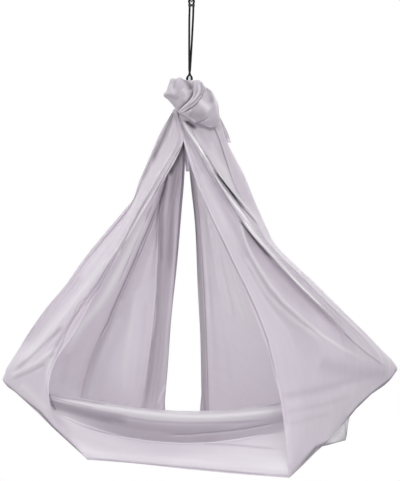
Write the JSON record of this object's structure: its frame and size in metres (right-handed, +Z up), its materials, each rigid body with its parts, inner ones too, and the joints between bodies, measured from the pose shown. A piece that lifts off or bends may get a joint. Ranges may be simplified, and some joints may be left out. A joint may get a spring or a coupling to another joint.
{
  "type": "aerial yoga hammock",
  "caption": "Aerial yoga hammock: a wide loop of pale mauve stretch cloth knotted on an oval carabiner and hung by a short black cord sling from a second carabiner.",
  "frame": {"origin": "the point inside the upper carabiner's top bow where a ceiling eye carries it", "axes": "+Z up, +X to the right seen from the front, +Y to the back"},
  "size_m": [1.1644, 0.4484, 1.502],
  "materials": {
    "steel": "bright zinc-plated steel, satin",
    "spring_steel": "plain spring wire",
    "black_cord": "black braided cord",
    "black_sleeve": "black shrink sleeve",
    "mauve_cloth": "satin nylon tricot, pale mauve grey"
  },
  "bodies": {
    "upper_carabiner": {"upper_carabiner_body": "steel", "upper_hinge_rivet": "steel"},
    "upper_gate": {"upper_carabiner_gate": "steel", "upper_latch_pin": "steel", "upper_plunger": "steel", "upper_return_spring": "spring_steel"},
    "sling": {"sling_cord": "black_cord", "sling_sleeve": "black_sleeve"},
    "hammock": {"lower_carabiner_body": "steel", "lower_hinge_rivet": "steel", "knot_core": "mauve_cloth", "knot_lobe": "mauve_cloth", "knot_wrap": "mauve_cloth", "knot_bulge": "mauve_cloth", "cloth_left_leg": "mauve_cloth", "cloth_right_leg": "mauve_cloth", "cloth_seat": "mauve_cloth", "cloth_side_tail": "mauve_cloth", "cloth_back_tail": "mauve_cloth"},
    "lower_gate": {"lower_carabiner_gate": "steel", "lower_latch_pin": "steel", "lower_plunger": "steel", "lower_return_spring": "spring_steel"}
  },
  "joints": [
    {"name": "upper_gate_hinge", "type": "hinge", "parent": "upper_carabiner", "child": "upper_gate", "pos_m": [0, 0.02, -0.063], "axis": [1, 0, 0], "range_deg": [0, 25], "stiffness_Nm_per_rad": 0.05, "springref_deg": -11.46},
    {"name": "side_swing", "type": "hinge", "parent": "upper_carabiner", "child": "sling", "pos_m": [0, 0, -0.091], "axis": [0, 1, 0], "range_deg": [-40, 40]},
    {"name": "front_swing", "type": "hinge", "parent": "sling", "child": "hammock", "pos_m": [-0.0063, 0, -0.3472], "axis": [1, 0, 0], "range_deg": [-35, 35]},
    {"name": "lower_gate_hinge", "type": "hinge", "parent": "hammock", "child": "lower_gate", "pos_m": [-0.0063, 0.02, -0.3942], "axis": [1, 0, 0], "range_deg": [0, 25], "stiffness_Nm_per_rad": 0.05, "springref_deg": -11.46}
  ]
}
